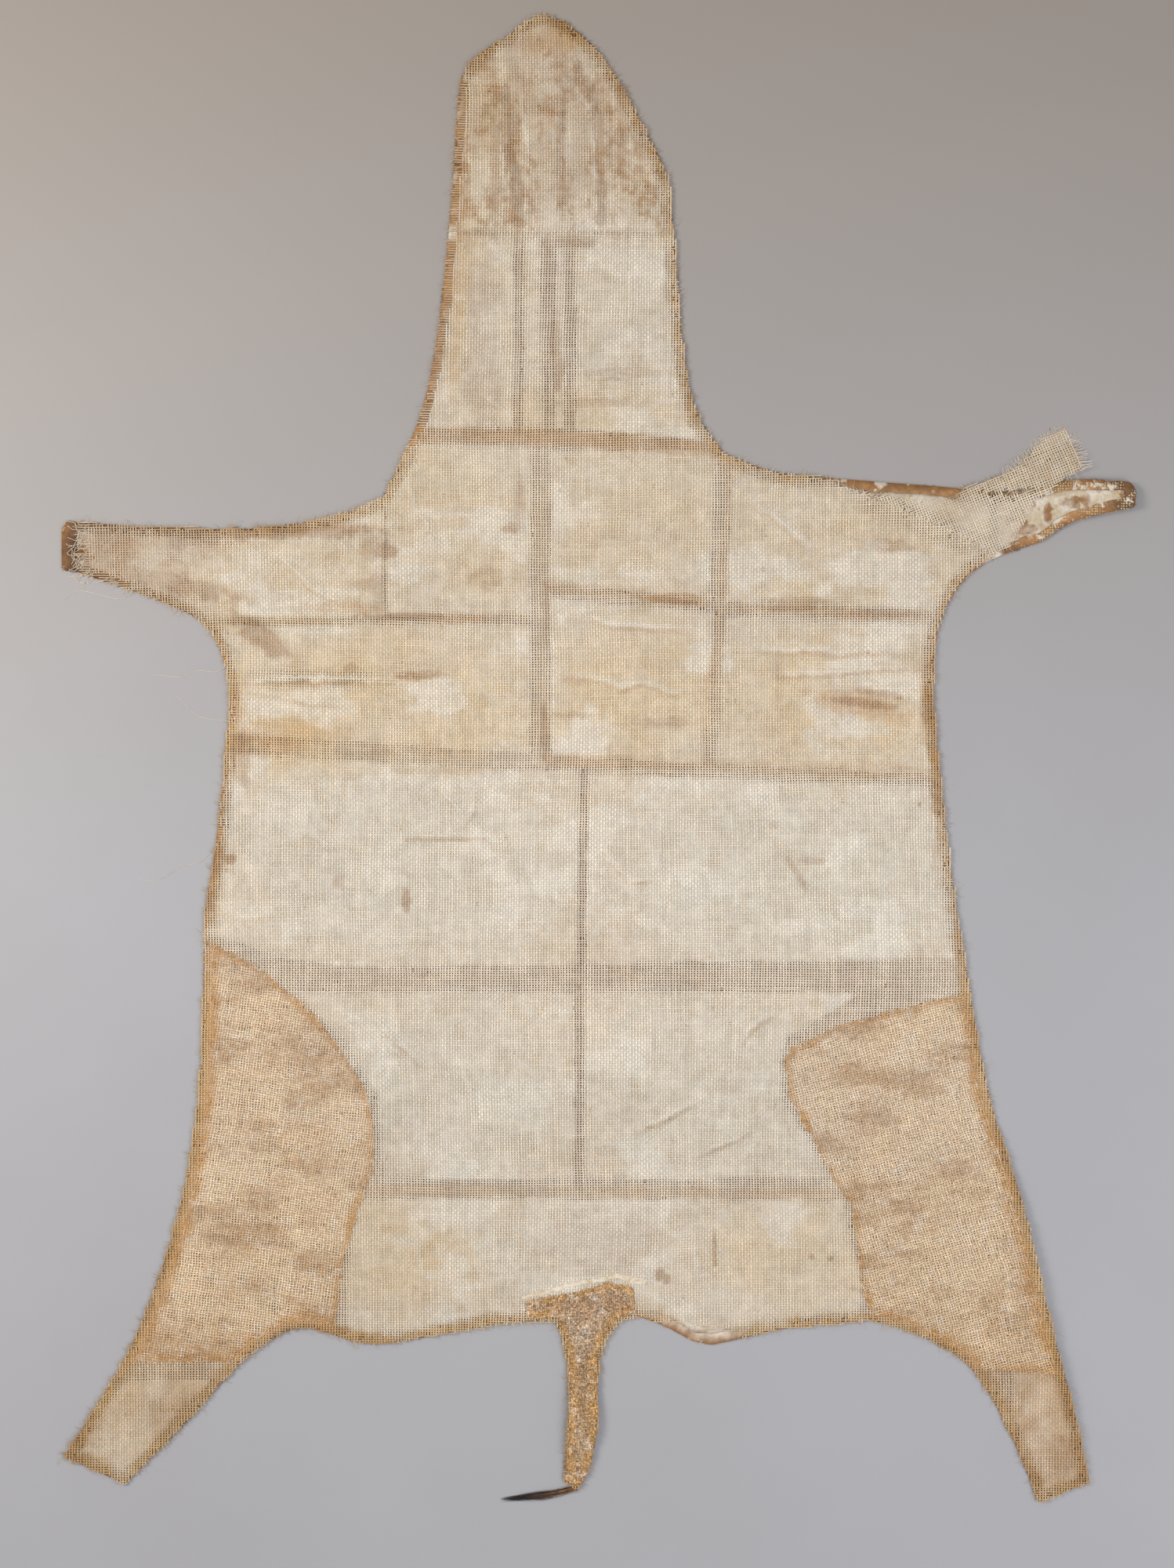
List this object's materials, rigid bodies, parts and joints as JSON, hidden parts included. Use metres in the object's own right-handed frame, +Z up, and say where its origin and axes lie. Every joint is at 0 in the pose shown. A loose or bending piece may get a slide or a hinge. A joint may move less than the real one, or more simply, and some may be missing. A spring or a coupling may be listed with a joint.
{
  "type": "zebra skin rug",
  "caption": "Whole flat zebra skin rug with head, legs and tail, hair side down, its back lined with stiff panels under open-weave scrim; lies on a floor as a rug or hanging to be mounted.",
  "frame": {"origin": "on the floor, under the middle of the skin's outline", "axes": "+Z up from the floor; +Y along the spine towards the nose; +X towards the right foreleg as seen from above"},
  "size_m": [1.778, 2.462, 0.0152],
  "materials": {
    "hide": "tanned zebra hide, matt orange-brown flesh side with glue dots, short striped hair underneath",
    "lining": "stiff matt off-white lining glued to the hide",
    "scrim": "open plain-weave cream jute scrim, matt and slightly fuzzy",
    "patch": "second layer of scrim stained tan by glue",
    "tail_hair": "coarse dark brown tail hair with a dull gloss"
  },
  "bodies": {
    "root": {"hide": "hide", "scrim": "scrim", "flap_fringe": "scrim", "thigh_patch_left": "patch", "thigh_patch_right": "patch", "tail_patch": "patch", "tail_tuft": "tail_hair", "lining_head": "lining", "lining_neck_left": "lining", "lining_neck_strip": "lining", "lining_neck_middle": "lining", "lining_neck_right": "lining", "lining_foreleg_left": "lining", "lining_shoulder_left": "lining", "lining_side_left": "lining", "lining_withers": "lining", "lining_back": "lining", "lining_shoulder_right": "lining", "lining_side_right": "lining", "lining_loin_left": "lining", "lining_loin_right": "lining", "lining_rump_left": "lining", "lining_rump_right": "lining", "lining_hem": "lining", "lining_leg_left": "lining", "lining_leg_right": "lining", "lining_foreleg_tip": "lining"}
  },
  "joints": []
}
